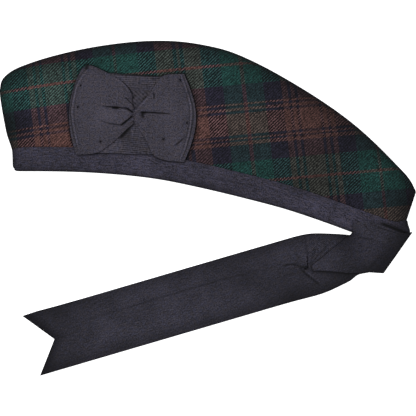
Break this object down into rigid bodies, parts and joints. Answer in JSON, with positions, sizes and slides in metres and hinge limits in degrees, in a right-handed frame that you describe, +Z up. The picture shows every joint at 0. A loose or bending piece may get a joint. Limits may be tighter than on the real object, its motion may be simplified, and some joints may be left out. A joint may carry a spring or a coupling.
{
  "type": "glengarry cap",
  "caption": "Pressed tartan wool glengarry lying on its side, with an inward-folded crown, a ribbon-bound brim, a pleated ribbon cockade and swallow-tailed ribbons at the back.",
  "frame": {"origin": "centre of the underside of the whole part's bounding box, on the surface it lies on", "axes": "+X towards the back of the cap along its length, +Y towards the crown, +Z up from the surface out of the left side, which carries the cockade"},
  "size_m": [0.301, 0.2422, 0.0329],
  "materials": {
    "tartan": "brushed wool twill in a green, navy and brown tartan with fine orange lines",
    "band_ribbon": "dark grey-purple grosgrain ribbon, matt",
    "cockade_ribbon": "dark grey-purple grosgrain ribbon, pleated and stitched down",
    "tail_ribbon": "dark ribbon with a fine twill and a slight sheen"
  },
  "bodies": {
    "root": {"side_left": "tartan", "side_right": "tartan", "crown_gusset": "tartan", "brim_band": "band_ribbon", "cockade_back": "cockade_ribbon", "cockade_wing_left": "cockade_ribbon", "cockade_wing_right": "cockade_ribbon", "tail_upper": "tail_ribbon", "tail_lower": "tail_ribbon", "tail_fold": "tail_ribbon"}
  },
  "joints": []
}
